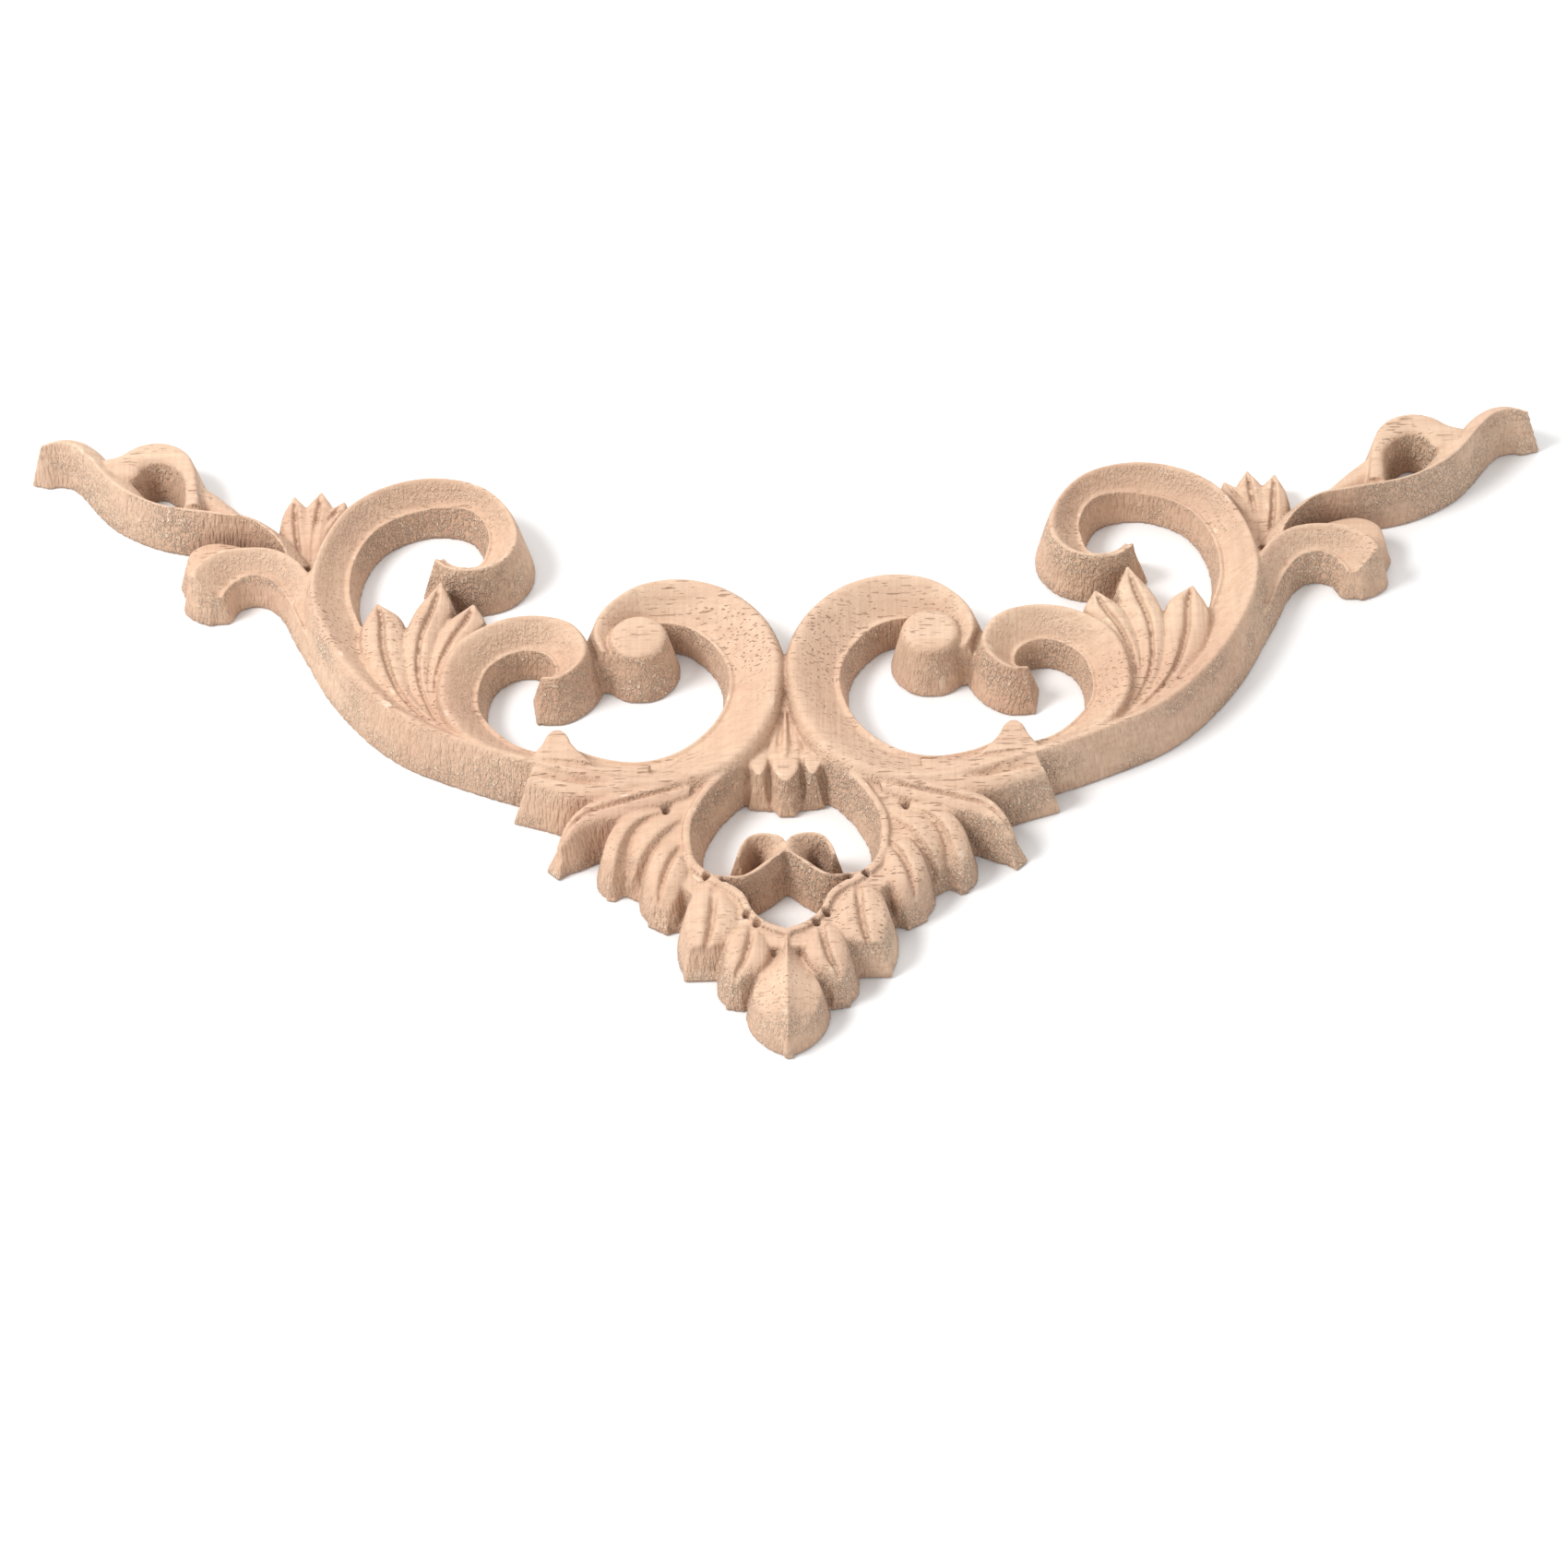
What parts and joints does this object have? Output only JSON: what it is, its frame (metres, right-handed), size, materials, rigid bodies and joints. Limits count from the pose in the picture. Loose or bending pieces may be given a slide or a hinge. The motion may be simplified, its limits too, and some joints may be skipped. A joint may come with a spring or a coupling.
{
  "type": "wooden corner onlay",
  "caption": "Carved wooden corner onlay with scrolls, leaves and openwork, flat on the back for fixing to a panel corner.",
  "frame": {"origin": "centre of the bounding box on the flat back", "axes": "+X along the span from arm tip to arm tip, +Y from the corner towards the open side, +Z out of the carved face"},
  "size_m": [0.2138, 0.1098, 0.008],
  "materials": {
    "wood": "raw sanded wood"
  },
  "bodies": {
    "root": {"corner_onlay": "wood"}
  },
  "joints": []
}
